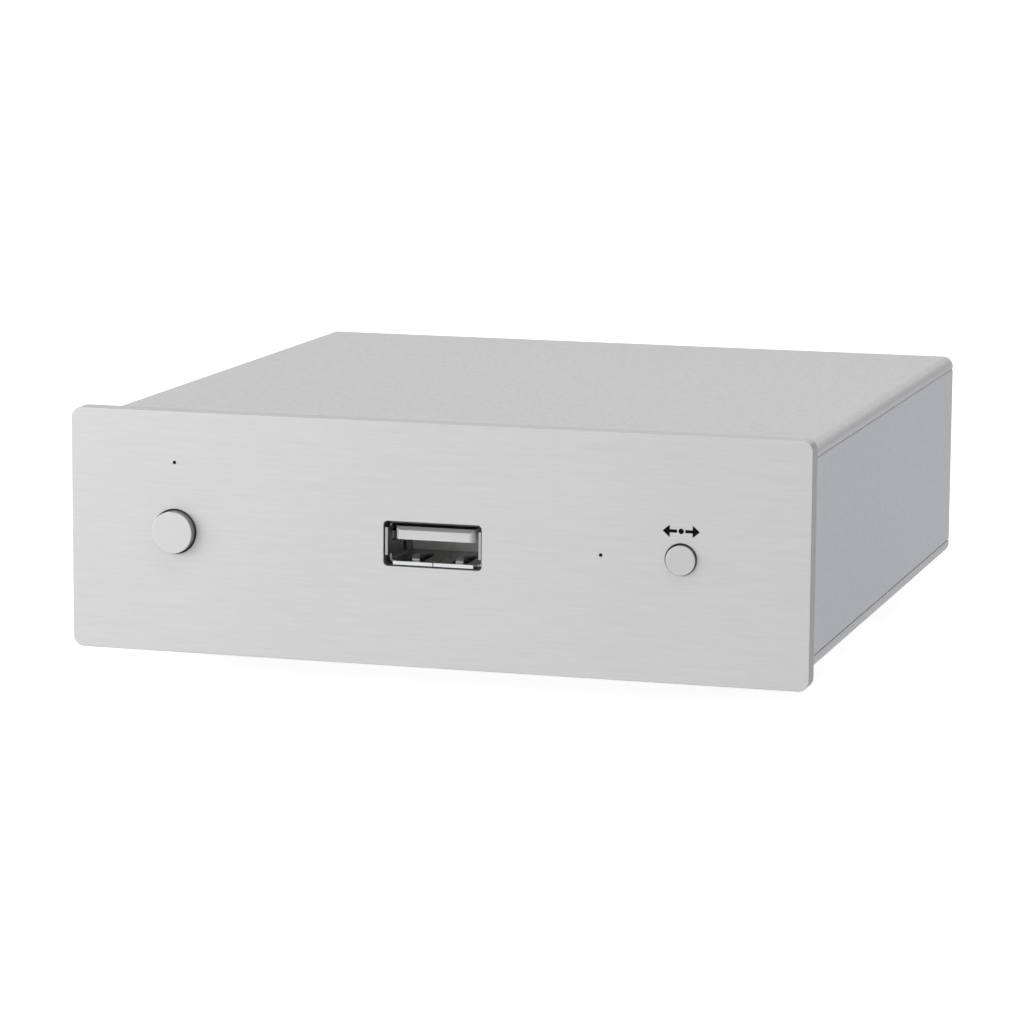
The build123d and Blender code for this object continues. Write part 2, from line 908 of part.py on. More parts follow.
def usb_tongue(mouth):
    """The insulator: a tongue that carries the contacts, and the block that fills the shell behind it."""
    side = side_plane(mouth)
    high = usb_height / 2 - usb_wall - tongue_roof_gap
    low = high - tongue_thickness
    with BuildPart() as insulator:
        with BuildSketch(side):
            with BuildLine():
                Polyline(
                    (-tongue_setback, low),
                    (-tongue_setback, high - tongue_chamfer),
                    (-tongue_setback - tongue_chamfer, high),
                    (-usb_cavity_depth, high),
                    (-usb_cavity_depth, low),
                    close=True,
                )
            make_face()
        extrude(amount=usb_width / 2 - usb_wall - tongue_side_gap, both=True)
        outward = Axis((0, 0, 0), mouth.z_dir)
        fillet(insulator.edges().filter_by(Axis.Z).group_by(outward)[-1], tongue_end_radius)
        with BuildSketch(mouth.offset(-usb_cavity_depth)):
            RectangleRounded(
                usb_width - 2 * (usb_wall + usb_fit_gap),
                usb_height - 2 * (usb_wall + usb_fit_gap),
                usb_corner_radius - usb_wall,
            )
        extrude(amount=usb_cavity_depth - usb_length)
    return insulator


def usb_contacts(mouth):
    """Four contact strips under the tongue, each bowed down near its tip."""
    side = side_plane(mouth)
    top = usb_height / 2 - usb_wall - tongue_roof_gap - tongue_thickness
    start = tongue_setback + contact_setback
    places = [
        sign * spacing / 2
        for spacing in (contact_inner_spacing, contact_outer_spacing)
        for sign in (-1, 1)
    ]
    with BuildPart() as strips:
        for x in places:
            with BuildSketch(side.offset(x)):
                with BuildLine():
                    Polyline(
                        (-start, top),
                        (-start, top - contact_thickness),
                        (-start - contact_bow_length, top - contact_thickness - contact_bow),
                        (-start - 2 * contact_bow_length, top - contact_thickness),
                        (-usb_cavity_depth, top - contact_thickness),
                        (-usb_cavity_depth, top),
                        close=True,
                    )
                make_face()
            extrude(amount=contact_width / 2, both=True)
    return strips


front_usb_mouth = facing_front(0, control_z, usb_recess)
front_usb_shell = usb_shell(front_usb_mouth)
front_usb_tongue = usb_tongue(front_usb_mouth)
front_usb_contacts = usb_contacts(front_usb_mouth)
rear_usb_mouth = facing_rear(rear_usb_x, control_z)
rear_usb_shell = usb_shell(rear_usb_mouth)
rear_usb_tongue = usb_tongue(rear_usb_mouth)
rear_usb_contacts = usb_contacts(rear_usb_mouth)


# Network socket

ethernet_mouth = facing_rear(ethernet_x, ethernet_z, ethernet_proud)
port_floor = ethernet_port_rise - ethernet_height / 2
port_roof = port_floor + ethernet_port_height

with BuildPart() as ethernet_shell:
    with BuildSketch(ethernet_mouth):
        Rectangle(ethernet_width, ethernet_height)
        Rectangle(
            ethernet_width - 2 * ethernet_wall,
            ethernet_height - 2 * ethernet_wall,
            mode=Mode.SUBTRACT,
        )
    extrude(amount=-ethernet_length)

with BuildPart() as ethernet_housing:
    with BuildSketch(ethernet_mouth):
        Rectangle(ethernet_width - 2 * ethernet_wall, ethernet_height - 2 * ethernet_wall)
    extrude(amount=-ethernet_length)
    with BuildSketch(ethernet_mouth):
        half = ethernet_port_width / 2
        block(-half, half, port_floor, port_roof)
        half = ethernet_key_width / 2
        block(-half, half, port_floor - ethernet_key_height, port_floor)
        half = ethernet_latch_width / 2
        latch_floor = port_floor - ethernet_key_height - ethernet_latch_height
        block(-half, half, latch_floor, port_floor)
    extrude(amount=-ethernet_port_depth, mode=Mode.SUBTRACT)

with BuildPart() as ethernet_contacts:
    for pin in range(ethernet_pin_count):
        pin_x = (pin - (ethernet_pin_count - 1) / 2) * ethernet_pin_pitch
        with BuildSketch(side_plane(ethernet_mouth).offset(pin_x)):
            with BuildLine():
                Polyline(
                    (-ethernet_pin_start, port_roof),
                    (-ethernet_pin_end, port_roof - ethernet_pin_drop),
                    (-ethernet_pin_end, port_roof - ethernet_pin_drop - ethernet_pin_thickness),
                    (-ethernet_pin_start, port_roof - ethernet_pin_thickness),
                    close=True,
                )
            make_face()
        extrude(amount=ethernet_pin_width / 2, both=True)


# Phono sockets

phono_places = {"left": phono_x - phono_pitch / 2, "right": phono_x + phono_pitch / 2}
phono_root_depth = -rear_thickness - phono_root

with BuildPart() as phono_housing:
    with BuildSketch(front_plane(inner_rear)):
        half = phono_housing_width / 2
        block(phono_x - half, phono_x + half, board_top, phono_z + phono_housing_top)
    extrude(amount=phono_housing_depth)
    with BuildSketch(front_plane(inner_rear)):
        with Locations(*[(x, phono_z) for x in phono_places.values()]):
            Circle(phono_neck_radius + phono_ring_gap)
    extrude(amount=phono_root, mode=Mode.SUBTRACT)


def phono_ring(x):
    """The coloured collar round one socket, between the housing and the open air."""
    with BuildPart() as ring:
        with BuildSketch(facing_rear(x, phono_z, -rear_thickness)):
            Circle(phono_ring_radius)
            Circle(phono_neck_radius + phono_ring_gap, mode=Mode.SUBTRACT)
        extrude(amount=rear_thickness + phono_ring_proud)
        fillet(ring.faces().sort_by(Axis.Y)[-1].outer_wire().edges(), phono_edge_radius)
    return ring


phono_ring_left = phono_ring(phono_places["left"])
phono_ring_right = phono_ring(phono_places["right"])

with BuildPart() as phono_barrels:
    shoulder = phono_ring_proud + phono_shoulder_gap
    for x in phono_places.values():
        with BuildSketch(facing_rear(x, phono_z, phono_root_depth)):
            Circle(phono_neck_radius)
        extrude(amount=shoulder - phono_root_depth)
        with BuildSketch(facing_rear(x, phono_z, shoulder)):
            Circle(phono_radius)
        extrude(amount=phono_reach - shoulder)
    fillet(phono_barrels.faces().group_by(Axis.Y)[-1].edges(), phono_edge_radius)
    for x in phono_places.values():
        with BuildSketch(facing_rear(x, phono_z, phono_reach)):
            Circle(phono_radius - phono_wall)
        extrude(amount=phono_root_depth - phono_reach, mode=Mode.SUBTRACT)

with BuildPart() as phono_inserts:
    for x in phono_places.values():
        with BuildSketch(facing_rear(x, phono_z, phono_root_depth)):
            Circle(phono_radius - phono_wall)
        extrude(amount=phono_reach - phono_insert_setback - phono_root_depth)
        with BuildSketch(facing_rear(x, phono_z, phono_reach - phono_insert_setback)):
            Circle(phono_hole_radius)
        extrude(amount=-phono_hole_depth, mode=Mode.SUBTRACT)


# Power inlet

inlet_base = facing_rear(inlet_x, inlet_z, -rear_thickness)

with BuildPart() as power_inlet:
    with BuildSketch(inlet_base):
        block(-inlet_width / 2, inlet_width / 2, -inlet_rise, inlet_height - inlet_rise)
    extrude(amount=-inlet_length)
    with BuildSketch(inlet_base):
        Circle(inlet_nose_radius)
    extrude(amount=rear_thickness + inlet_nose_proud)
    with BuildSketch(facing_rear(inlet_x, inlet_z, inlet_nose_proud)):
        Circle(inlet_bore_radius)
    extrude(amount=-inlet_bore_depth, mode=Mode.SUBTRACT)

with BuildPart() as power_inlet_pin:
    with BuildSketch(facing_rear(inlet_x, inlet_z, inlet_nose_proud - inlet_bore_depth)):
        Circle(inlet_pin_radius)
    extrude(amount=inlet_bore_depth - inlet_pin_setback)
    fillet(power_inlet_pin.faces().sort_by(Axis.Y)[-1].edges(), inlet_pin_radius / 2)


# Antenna connector and its lead

antenna_mouth = facing_rear(antenna_x, antenna_z, antenna_reach)
antenna_inside = facing_rear(antenna_x, antenna_z, -rear_thickness)

with BuildPart() as antenna_connector:
    with BuildSketch(antenna_inside):
        Circle(antenna_radius)
    extrude(amount=rear_thickness + antenna_reach)
    chamfer(antenna_connector.faces().sort_by(Axis.Y)[-1].edges(), antenna_edge_chamfer)
    with BuildSketch(antenna_inside):
        RegularPolygon(antenna_flats / 2, 6, major_radius=False)
    extrude(amount=-antenna_flange_thickness)
    with BuildSketch(antenna_inside.offset(-antenna_flange_thickness)):
        Circle(antenna_tail_radius)
    extrude(amount=-antenna_tail_length)
    with BuildSketch(antenna_mouth):
        Circle(antenna_bore_radius)
    extrude(amount=-antenna_bore_depth, mode=Mode.SUBTRACT)
    with BuildSketch(facing_rear(antenna_x, antenna_z, antenna_washer_thickness + antenna_nut_thickness)):
        Circle(antenna_radius + overrun)
        Circle(antenna_radius - antenna_groove_depth, mode=Mode.SUBTRACT)
    extrude(amount=antenna_groove_width, mode=Mode.SUBTRACT)

with BuildPart() as antenna_pin:
    with BuildSketch(antenna_mouth.offset(-antenna_bore_depth)):
        Circle(antenna_pin_radius)
    extrude(amount=antenna_pin_length)
    fillet(antenna_pin.faces().sort_by(Axis.Y)[-1].edges(), antenna_pin_radius / 2)

with BuildPart() as antenna_washer:
    with BuildSketch(facing_rear(antenna_x, antenna_z)):
        Circle(antenna_washer_radius)
        Circle(antenna_radius + antenna_nut_gap, mode=Mode.SUBTRACT)
    extrude(amount=antenna_washer_thickness)

with BuildPart() as antenna_nut:
    with BuildSketch(facing_rear(antenna_x, antenna_z, antenna_washer_thickness)):
        RegularPolygon(antenna_flats / 2, 6, major_radius=False)
        Circle(antenna_radius + antenna_nut_gap, mode=Mode.SUBTRACT)
    extrude(amount=antenna_nut_thickness)

radio_x = radio_across_share * board_half
radio_y = rear_face - rear_thickness - phono_housing_depth - radio_gap - radio_length / 2
radio_top = board_top + radio_height
lead_low_z = radio_top + plug_height / 2
lead_end_y = rear_face - rear_thickness - antenna_flange_thickness - antenna_tail_length

with BuildPart() as antenna_lead:
    with BuildLine():
        FilletPolyline(
            (antenna_x, lead_end_y, antenna_z),
            (antenna_x, lead_end_y - lead_straight, antenna_z),
            (radio_x, radio_y + plug_radius + lead_straight, lead_low_z),
            (radio_x, radio_y + plug_radius, lead_low_z),
            radius=lead_bend_radius,
        )
    with BuildSketch(antenna_inside.offset(-antenna_flange_thickness - antenna_tail_length)):
        Circle(lead_radius)
    sweep()

with BuildPart() as antenna_plug:
    with BuildSketch(Plane.XY.offset(radio_top)):
        with Locations((radio_x, radio_y)):
            Circle(plug_radius)
    extrude(amount=plug_height)

with BuildPart() as wireless_module:
    with BuildSketch(Plane.XY.offset(board_top)):
        with Locations((radio_x, radio_y)):
            Rectangle(radio_width, radio_length)
    extrude(amount=radio_height)


# Main board and what stands on it


with BuildPart() as main_board:
    with BuildSketch(Plane.XY.offset(board_bottom)):
        block(-board_half, board_half, front_face + board_front, front_face + board_rear)
    extrude(amount=board_thickness)

module_x, module_y = board_place(module_place_shares)
module_bottom = board_top + module_connector_height
module_top = module_bottom + module_thickness
processor_top = module_top + processor_height
sink_bottom = processor_top + pad_thickness
sink_top = ceiling - sink_head_gap

with BuildPart() as module_connectors:
    connector_offset = module_length / 2 - module_connector_inset - module_connector_width / 2
    with BuildSketch(Plane.XY.offset(board_top)):
        with Locations((module_x, module_y - connector_offset), (module_x, module_y + connector_offset)):
            Rectangle(module_connector_length, module_connector_width)
    extrude(amount=module_connector_height)

with BuildPart() as compute_module:
    with BuildSketch(Plane.XY.offset(module_bottom)):
        with Locations((module_x, module_y)):
            Rectangle(module_width, module_length)
    extrude(amount=module_thickness)

with BuildPart() as processor:
    with BuildSketch(Plane.XY.offset(module_top)):
        with Locations((module_x, module_y)):
            Rectangle(processor_size, processor_size)
    extrude(amount=processor_height)

with BuildPart() as thermal_pad:
    with BuildSketch(Plane.XY.offset(processor_top)):
        with Locations((module_x, module_y)):
            Rectangle(processor_size, processor_size)
    extrude(amount=pad_thickness)

with BuildPart() as heat_sink:
    with BuildSketch(Plane.XY.offset(sink_bottom)):
        with Locations((module_x, module_y)):
            Rectangle(sink_width, sink_length)
    extrude(amount=sink_base)
    with BuildSketch(Plane.XY.offset(sink_bottom + sink_base)):
        with Locations((module_x, module_y)):
            with GridLocations((sink_width - sink_fin) / (sink_fin_count - 1), 0, sink_fin_count, 1):
                Rectangle(sink_fin, sink_length)
    extrude(amount=sink_top - sink_bottom - sink_base)

with BuildPart() as converter_chip:
    with BuildSketch(Plane.XY.offset(board_top)):
        with Locations(board_place(converter_place_shares)):
            Rectangle(converter_size, converter_size)
    extrude(amount=converter_height)

with BuildPart() as inductor:
    with BuildSketch(Plane.XY.offset(board_top)):
        with Locations(board_place(inductor_place_shares)):
            RectangleRounded(inductor_size, inductor_size, inductor_edge_radius)
    extrude(amount=inductor_height)


def capacitor_cans(place_shares, radius, height):
    """Upright cans on the main board, each with the crimp groove near its foot."""
    with BuildPart() as cans:
        places = [board_place(shares) for shares in place_shares]
        with BuildSketch(Plane.XY.offset(board_top)):
            with Locations(*places):
                Circle(radius)
        extrude(amount=height)
        with BuildSketch(Plane.XY.offset(board_top + capacitor_crimp_rise)):
            with Locations(*places):
                Circle(radius + overrun)
                Circle(radius - capacitor_crimp, mode=Mode.SUBTRACT)
        extrude(amount=capacitor_crimp_width, mode=Mode.SUBTRACT)
    return cans


small_capacitors = capacitor_cans(
    small_capacitor_place_shares, small_capacitor_radius, small_capacitor_height
)
large_capacitors = capacitor_cans(
    large_capacitor_place_shares, large_capacitor_radius, large_capacitor_height
)


# Files, one for each piece


pieces = {
    "front_panel": front_panel,
    "front_adhesive": front_adhesive,
    "front_subpanel": front_subpanel,
    "subpanel_screws": subpanel_screws,
    "top_plate": top_plate,
    "bottom_plate": bottom_plate,
    "side_profile_left": side_profile_left,
    "side_profile_right": side_profile_right,
    "rear_panel": rear_panel,
    "rear_panel_screws": rear_panel_screws,
    **feet,
    "foot_screws": foot_screws,
    "power_button": power_button,
    "power_plunger": power_plunger,
    "power_switch_actuator": power_switch_actuator,
    "power_switch_body": power_switch_body,
    "source_button": source_button,
    "source_plunger": source_plunger,
    "source_switch_actuator": source_switch_actuator,
    "source_switch_body": source_switch_body,
    "power_lamp": power_lamp,
    "power_light_pipe": power_light_pipe,
    "status_lamp": status_lamp,
    "status_light_pipe": status_light_pipe,
    "front_usb_shell": front_usb_shell,
    "front_usb_tongue": front_usb_tongue,
    "front_usb_contacts": front_usb_contacts,
    "rear_usb_shell": rear_usb_shell,
    "rear_usb_tongue": rear_usb_tongue,
    "rear_usb_contacts": rear_usb_contacts,
    "ethernet_shell": ethernet_shell,
    "ethernet_housing": ethernet_housing,
    "ethernet_contacts": ethernet_contacts,
    "phono_housing": phono_housing,
    "phono_ring_left": phono_ring_left,
    "phono_ring_right": phono_ring_right,
    "phono_barrels": phono_barrels,
    "phono_inserts": phono_inserts,
    "power_inlet": power_inlet,
    "power_inlet_pin": power_inlet_pin,
    "antenna_connector": antenna_connector,
    "antenna_pin": antenna_pin,
    "antenna_washer": antenna_washer,
    "antenna_nut": antenna_nut,
    "antenna_lead": antenna_lead,
    "antenna_plug": antenna_plug,
    "wireless_module": wireless_module,
    "main_board": main_board,
    "module_connectors": module_connectors,
    "compute_module": compute_module,
    "processor": processor,
    "thermal_pad": thermal_pad,
    "heat_sink": heat_sink,
    "converter_chip": converter_chip,
    "inductor": inductor,
    "small_capacitors": small_capacitors,
    "large_capacitors": large_capacitors,
}

for name, piece in pieces.items():
    piece.part.label = name
    export_step(piece.part, f"parts/{name}.step")
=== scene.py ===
"""The looks of a compact network music streamer: finishes, printed marks, light and camera.

Lengths are in metres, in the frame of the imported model:
X to the right as seen from the front, Y to the back, Z up.
"""

import json
import math

import bmesh
import bpy
from mathutils import Matrix, Vector

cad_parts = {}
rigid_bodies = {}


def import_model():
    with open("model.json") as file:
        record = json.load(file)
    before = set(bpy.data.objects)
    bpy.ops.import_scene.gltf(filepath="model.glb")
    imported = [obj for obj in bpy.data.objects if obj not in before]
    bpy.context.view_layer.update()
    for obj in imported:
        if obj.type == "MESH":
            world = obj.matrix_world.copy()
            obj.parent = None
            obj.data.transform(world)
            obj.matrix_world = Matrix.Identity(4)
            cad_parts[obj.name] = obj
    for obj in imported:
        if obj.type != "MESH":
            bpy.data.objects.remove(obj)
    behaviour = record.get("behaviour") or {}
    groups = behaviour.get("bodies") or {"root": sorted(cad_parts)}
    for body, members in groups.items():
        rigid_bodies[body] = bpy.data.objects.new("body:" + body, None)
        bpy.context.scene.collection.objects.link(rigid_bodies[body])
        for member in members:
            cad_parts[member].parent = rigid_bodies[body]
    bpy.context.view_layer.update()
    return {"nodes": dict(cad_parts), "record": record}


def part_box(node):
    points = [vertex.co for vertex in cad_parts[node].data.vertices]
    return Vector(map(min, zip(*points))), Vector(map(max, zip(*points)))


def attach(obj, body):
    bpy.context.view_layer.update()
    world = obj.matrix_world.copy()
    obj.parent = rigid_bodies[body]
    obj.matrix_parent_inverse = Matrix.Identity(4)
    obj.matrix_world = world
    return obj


for leftover in list(bpy.data.objects):
    bpy.data.objects.remove(leftover)

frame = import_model()
nodes = frame["nodes"]

mm = 0.001
micron = 0.001 * mm

panel_low, panel_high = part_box("front_panel")
panel_middle = (panel_low.z + panel_high.z) / 2


def middle(node):
    """The middle of a node's box."""
    low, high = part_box(node)
    return (low + high) / 2


# Node trees


most_noise = (0.25, 0.75)  # the range that holds most of a noise's values


class Finish:
    """A node material round one Principled shader, with its plain numbers on the shader's sockets."""

    def __init__(self, name, color, roughness, **sockets):
        self.material = bpy.data.materials.new(name)
        self.material.use_nodes = True
        self.tree = self.material.node_tree
        self.shader = self.tree.nodes["Principled BSDF"]
        self.shader.inputs["Base Color"].default_value = (*color, 1)
        self.shader.inputs["Roughness"].default_value = roughness
        for socket, value in sockets.items():
            self.shader.inputs[socket.replace("_", " ")].default_value = value
        self.color = color
        self.roughness = roughness
        coordinates = self.tree.nodes.new("ShaderNodeTexCoord")
        self.place = coordinates.outputs["Object"]
        self.turned = coordinates.outputs["Normal"]

    def node(self, kind, **settings):
        """A new node of the finish's tree, with these settings."""
        made = self.tree.nodes.new(kind)
        for name, value in settings.items():
            setattr(made, name, value)
        return made

    def link(self, source, target):
        self.tree.links.new(source, target)

    def stretched(self, scale, about=(0, 0, 0)):
        """Object coordinates from a point, times a scale per metre for each axis."""
        shift = self.node("ShaderNodeVectorMath", operation="SUBTRACT")
        shift.inputs[1].default_value = about
        self.link(self.place, shift.inputs[0])
        stretch = self.node("ShaderNodeVectorMath", operation="MULTIPLY")
        stretch.inputs[1].default_value = scale
        self.link(shift.outputs[0], stretch.inputs[0])
        return stretch.outputs[0]

    def noise(self, scale, detail=2.0, rough=0.5):
        """Noise whose grains measure one over the scale, in metres along each axis."""
        made = self.node("ShaderNodeTexNoise")
        made.inputs["Scale"].default_value = 1.0
        made.inputs["Detail"].default_value = detail
        made.inputs["Roughness"].default_value = rough
        self.link(self.stretched(scale), made.inputs["Vector"])
        return made.outputs["Fac"]

    def rings(self, centre, axis, pitch, detail=2.0):
        """Noise that depends on the distance from an axis alone, as a lathe leaves it."""
        flat = [0 if i == axis else 1 for i in range(3)]
        length = self.node("ShaderNodeVectorMath", operation="LENGTH")
        self.link(self.stretched(flat, centre), length.inputs[0])
        made = self.node("ShaderNodeTexNoise", noise_dimensions="1D")
        made.inputs["Scale"].default_value = 1 / pitch
        made.inputs["Detail"].default_value = detail
        self.link(length.outputs["Value"], made.inputs["W"])
        return made.outputs["Fac"]

    def facing(self, axis, start, end):
        """Nought to one as a surface turns, either way, towards an axis of the object."""
        split = self.node("ShaderNodeSeparateXYZ")
        self.link(self.turned, split.inputs[0])
        size = self.node("ShaderNodeMath", operation="ABSOLUTE")
        self.link(split.outputs[axis], size.inputs[0])
        return self.ranged(size.outputs[0], 0, 1, start, end)

    def within(self, centre, half):
        """One inside a box round a point, and nought outside it."""
        offset = self.node("ShaderNodeVectorMath", operation="ABSOLUTE")
        self.link(self.stretched([1 / size for size in half], centre), offset.inputs[0])
        split = self.node("ShaderNodeSeparateXYZ")
        self.link(offset.outputs[0], split.inputs[0])
        most = split.outputs["X"]
        for axis in ("Y", "Z"):
            more = self.node("ShaderNodeMath", operation="MAXIMUM")
            self.link(most, more.inputs[0])
            self.link(split.outputs[axis], more.inputs[1])
            most = more.outputs[0]
        inside = self.node("ShaderNodeMath", operation="LESS_THAN")
        inside.inputs[1].default_value = 1.0
        self.link(most, inside.inputs[0])
        return inside.outputs[0]

    def ranged(self, value, low, high, start=0.0, end=1.0):
        """A value between start and end, spread between low and high."""
        made = self.node("ShaderNodeMapRange")
        self.link(value, made.inputs["Value"])
        made.inputs["From Min"].default_value = start
        made.inputs["From Max"].default_value = end
        made.inputs["To Min"].default_value = low
        made.inputs["To Max"].default_value = high
        return made.outputs["Result"]

    def blended(self, first, second, share):
        """Two factors in one, the first with this share of it and the second with the rest."""
        made = self.node("ShaderNodeMath", operation="ADD")
        self.link(self.ranged(first, 0, share), made.inputs[0])
        self.link(self.ranged(second, 0, 1 - share), made.inputs[1])
        return made.outputs[0]

    def mixed(self, factor, first, second):
        """A colour between two, each a colour or a socket."""
        made = self.node("ShaderNodeMix", data_type="RGBA")
        self.link(factor, made.inputs["Factor"])
        for name, value in (("A", first), ("B", second)):
            socket = [s for s in made.inputs if s.name == name and s.type == "RGBA"][0]
            if isinstance(value, bpy.types.NodeSocket):
                self.link(value, socket)
            else:
                socket.default_value = (*value, 1)
        return [s for s in made.outputs if s.type == "RGBA"][0]

    def shades(self, factor, spread, color=None):
        """A colour, else the finish's own, from this much darker to this much lighter by a factor."""
        darker = [max(0, c * (1 - spread)) for c in color or self.color]
        lighter = [min(1, c * (1 + spread)) for c in color or self.color]
        return self.mixed(factor, darker, lighter)

    def colored(self, socket):
        self.link(socket, self.shader.inputs["Base Color"])

    def roughened(self, factor, spread):
        """Roughness that varies round the finish's own by this much each way."""
        low, high = self.roughness - spread, self.roughness + spread
        self.link(self.ranged(factor, low, high, *most_noise), self.shader.inputs["Roughness"])

    def bumped(self, *layers):
        """Bumps, one over the other, each a height socket and its depth in metres."""
        below = None
        for height, depth in layers:
            made = self.node("ShaderNodeBump")
            made.inputs["Strength"].default_value = 1.0
            made.inputs["Distance"].default_value = depth
            self.link(height, made.inputs["Height"])
            if below:
                self.link(below, made.inputs["Normal"])
            below = made.outputs["Normal"]
        self.link(below, self.shader.inputs["Normal"])


# Finishes: a noise's scale counts its grains per metre, and a spread is the change each way


x_axis, y_axis, z_axis = range(3)


def dimmed(color, share):
    """A colour with this share of its light."""
    return [c * share for c in color]


painted_slot_shade = 0.12
hair_share = 0.65
cloud_share = 0.25
milled_share = 0.06


def brushed_metal(name, color, roughness, painted_x_edge_shade, edge_shade, painted_slot_centre, painted_slot_half):
    """Clear-anodised aluminium brushed along X on faces across Y, with painted shade on its milled edges
    and in a slot.
    """
    made = Finish(name, color, roughness, Metallic=0.4)
    hair = made.noise((260, 3500, 3800), detail=3.0, rough=0.6)
    streak = made.noise((70, 1400, 1600))
    cloud = made.noise((35, 35, 60), detail=1.0)
    milled = made.noise((2600, 500, 2600))
    both = made.blended(hair, streak, hair_share)
    brushed = made.mixed(made.ranged(cloud, 0, cloud_share), made.shades(both, spread=0.12), color)
    # Milled edges are darker partly by their finish and partly by painted shade; edges turned along X get
    # the most painted shade.
    at_side = made.facing(x_axis, start=0.6, end=0.8)
    edges = made.mixed(at_side, dimmed(color, edge_shade), dimmed(color, painted_x_edge_shade))
    edges = made.mixed(made.ranged(milled, 0, milled_share), edges, (0, 0, 0))
    # Painted shade on the panel's walls inside the front port's opening.
    edges = made.mixed(made.within(painted_slot_centre, painted_slot_half), edges, dimmed(color, painted_slot_shade))
    made.colored(made.mixed(made.facing(y_axis, start=0.8, end=0.95), edges, brushed))
    made.roughened(both, spread=0.05)
    made.bumped((hair, 2 * micron), (streak, 1 * micron))
    return made


bead_share = 0.4
bead_spread = 0.26
painted_turn_shade = 0.86


def satin_metal(name, color, roughness, painted_side_color=None):
    """Aluminium blasted with fine beads and clear anodised.

    With a side colour, faces turned along X have it as painted shade, and a rounding has darker painted
    shade just before that.
    """
    made = Finish(name, color, roughness, Metallic=0.3)
    bead = made.noise((4500, 4500, 4500), rough=0.7)
    patch = made.noise((1900, 1000, 1900))
    both = made.blended(bead, patch, bead_share)
    beaded = made.shades(both, bead_spread)
    if painted_side_color:
        side = made.shades(both, bead_spread, painted_side_color)
        turn = made.shades(both, bead_spread, dimmed(painted_side_color, painted_turn_shade))
        beaded = made.mixed(made.facing(x_axis, start=0.6, end=0.93), beaded, turn)
        beaded = made.mixed(made.facing(x_axis, start=0.95, end=0.995), beaded, side)
    made.colored(beaded)
    made.roughened(both, spread=0.05)
    made.bumped((bead, 6 * micron), (patch, 2 * micron))
    return made


lathe_pitch = 0.12 * mm
lathe_depth = 2 * micron


def turned_metal(name, color, roughness, centre, axis, painted_rim_shade):
    """Metal from a lathe, with faint rings round its axis, and painted shade round its rim."""
    made = Finish(name, color, roughness, Metallic=0.55)
    ring = made.rings(centre, axis, lathe_pitch)
    grain = made.noise((4000, 4000, 4000))
    at_face = made.facing(axis, start=0.4, end=0.7)
    made.colored(made.mixed(at_face, dimmed(color, painted_rim_shade), made.shades(ring, spread=0.03)))
    made.roughened(ring, spread=0.05)
    made.bumped((ring, lathe_depth), (grain, lathe_depth / 2))
    return made


along_y = (2500, 300, 2500)
along_z = (2500, 2500, 200)
roll_depth = 3 * micron


def plated_metal(name, color, roughness, roll_scale=along_y):
    """Plated sheet or wire, with rolling marks along one axis and a slightly uneven shine."""
    made = Finish(name, color, roughness, Metallic=1.0)
    roll = made.noise(roll_scale)
    haze = made.noise((400, 400, 400), detail=3.0)
    made.colored(made.shades(haze, spread=0.08))
    made.roughened(haze, spread=0.07)
    made.bumped((roll, roll_depth))
    return made


# Painted shade in a port's shell: on its side lips, on a band under its roof, and inside past its mouth.
painted_lip_shade = 0.6
painted_roof_shade = 0.12
roof_band = 0.45 * mm
side_band = 0.75 * mm
band_fade = 0.2  # share of a band, from its inner end, over which it fades
painted_inside_start = 0.32 * mm
painted_inside_end = 1.6 * mm


def port_metal(name, node, color, roughness, painted_inside_shade):
    """Plated sheet with painted shade: some on the mouth's side lips, much on a band under its roof, more
    inside with depth; the lower lip stays bright.
    """
    low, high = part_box(node)
    centre = (low + high) / 2
    inward = 1 if centre.y < 0 else -1
    mouth = low.y if centre.y < 0 else high.y
    half = (high.x - low.x) / 2
    made = Finish(name, color, roughness, Metallic=1.0)
    roll = made.noise(along_y)
    haze = made.noise((900, 900, 900), detail=3.0)
    split = made.node("ShaderNodeSeparateXYZ")
    made.link(made.stretched((1, inward, 1), (centre.x, mouth, high.z)), split.inputs[0])
    depth = made.ranged(split.outputs["Y"], 0, 1, painted_inside_start, painted_inside_end)
    sideways = made.node("ShaderNodeMath", operation="ABSOLUTE")
    made.link(split.outputs["X"], sideways.inputs[0])
    full = 1 - band_fade
    aside = made.ranged(sideways.outputs[0], 0, 1, half - side_band, half - full * side_band)
    above = made.ranged(split.outputs["Z"], 0, 1, -roof_band, -full * roof_band)
    shaded = made.mixed(aside, made.shades(haze, spread=0.04), dimmed(color, painted_lip_shade))
    shaded = made.mixed(depth, shaded, dimmed(color, painted_inside_shade))
    made.colored(made.mixed(above, shaded, dimmed(color, painted_roof_shade)))
    made.roughened(haze, spread=0.05)
    made.bumped((roll, roll_depth))
    return made


skin_scale = (6000, 6000, 6000)
skin_spread = 0.06


def moulded_plastic(name, color, roughness, depth=6 * micron):
    """Plastic from a spark-eroded mould: a fine even texture."""
    made = Finish(name, color, roughness)
    skin = made.noise(skin_scale)
    flow = made.noise((250, 250, 250))
    made.colored(made.shades(flow, spread=0.06))
    made.roughened(skin, skin_spread)
    made.bumped((skin, depth))
    return made


# Painted shade on a port's tongue: on its bevels, on its faces across Z, and towards its back.
painted_bevel_shade = 0.6
painted_top_shade = 0.06
painted_back_shades = (0.88, 0.90, 0.93)
bright_depth = 2.0 * mm
dark_depth = 7.0 * mm


